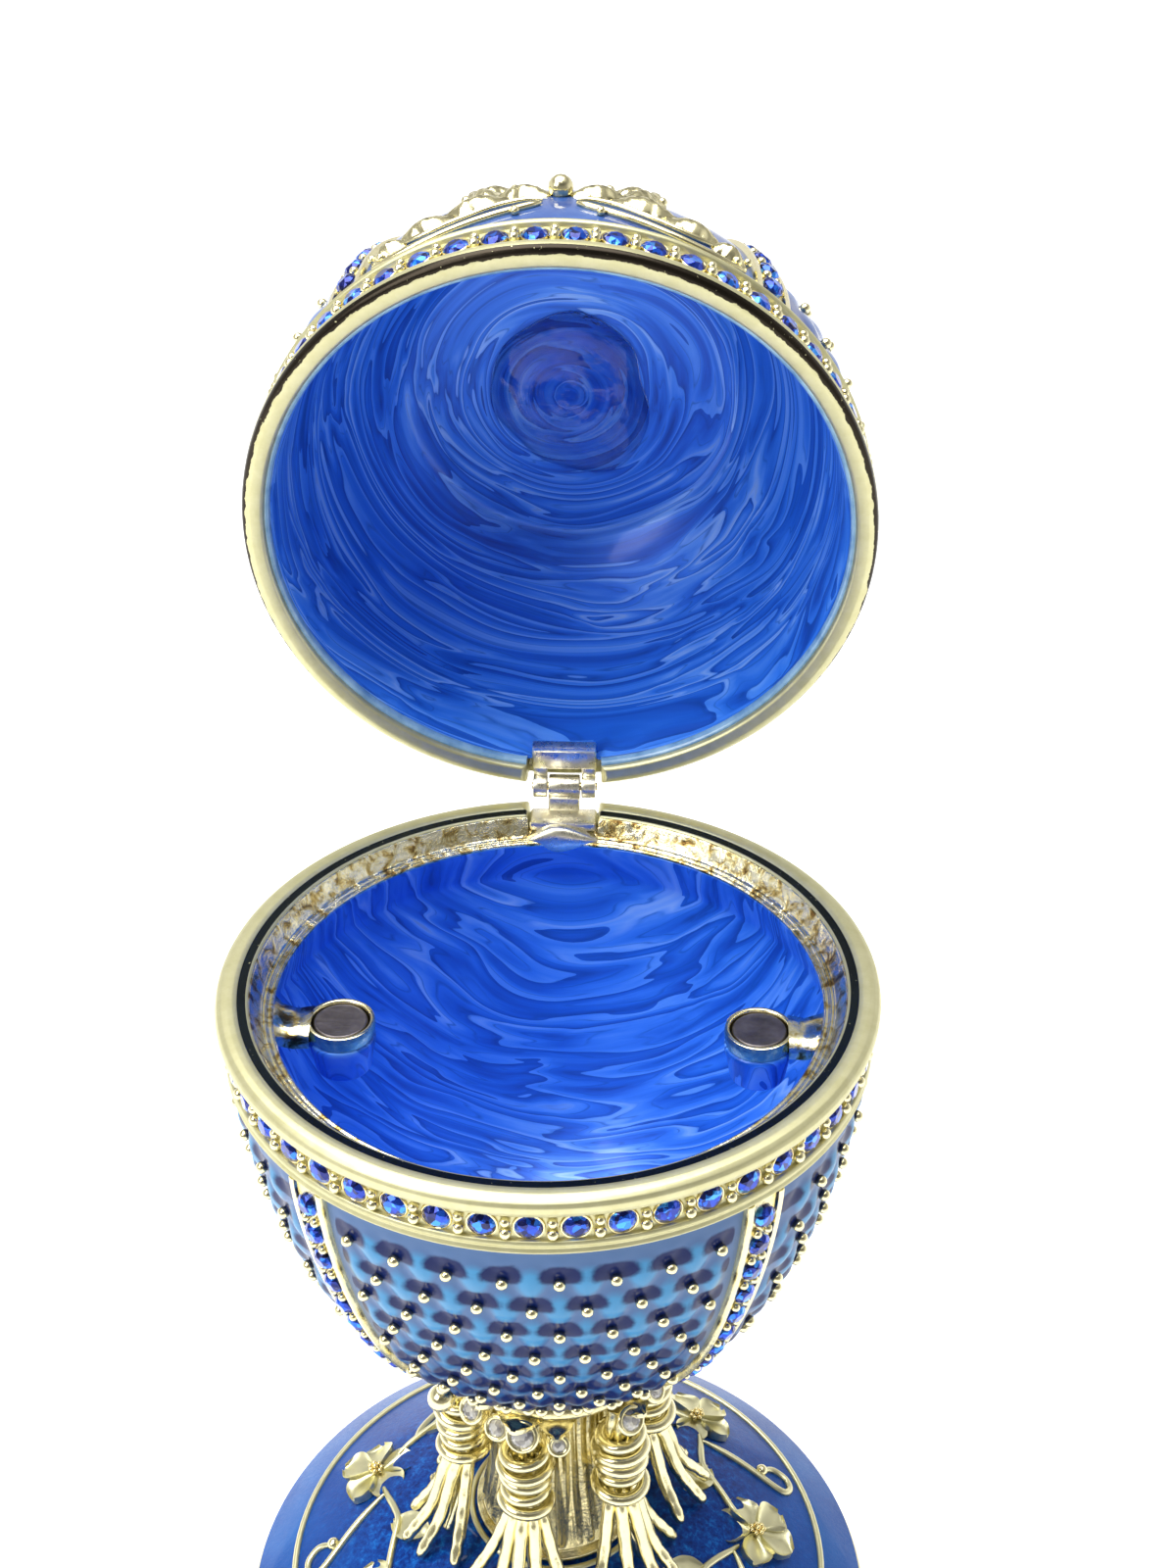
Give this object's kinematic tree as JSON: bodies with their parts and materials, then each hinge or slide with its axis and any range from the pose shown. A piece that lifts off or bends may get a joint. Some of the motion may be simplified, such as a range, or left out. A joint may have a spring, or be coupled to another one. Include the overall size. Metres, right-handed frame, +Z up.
{
  "type": "jewelled egg trinket box",
  "caption": "Enamelled metal egg box with a lid hinged at the back, jewelled ribs and bands, a twig-bundle stem and a round domed base with raised blossoms.",
  "frame": {"origin": "centre of the base's flat underside", "axes": "+Z up, front of the egg towards -Y, hinge at the back towards +Y, lid hinge axis along +X"},
  "size_m": [0.0792, 0.1113, 0.1747],
  "materials": {
    "gold": "polished pale gold plating with antiqued hollows",
    "blue_enamel": "glossy translucent blue enamel over hammered metal",
    "teal_enamel": "glossy pearly teal-blue enamel, quilted",
    "lavender_enamel": "glossy pearly lavender-blue enamel",
    "inner_enamel": "marbled pearly royal-blue enamel",
    "sapphire": "foiled cut rhinestones",
    "crystal": "clear cut crystal",
    "magnet_metal": "nickel-plated, slightly scuffed"
  },
  "bodies": {
    "stand": {"base": "blue_enamel", "stem": "gold", "bowl": "teal_enamel", "hinge_bowl_leaf": "gold", "hinge_pin": "gold", "magnet_left": "magnet_metal", "magnet_right": "magnet_metal"},
    "lid": {"lid": "lavender_enamel", "hinge_lid_leaf": "gold"}
  },
  "joints": [
    {"name": "lid_hinge", "type": "hinge", "parent": "stand", "child": "lid", "pos_m": [0, 0.0353, 0.10387], "axis": [1, 0, 0], "range_deg": [0, 82]}
  ]
}
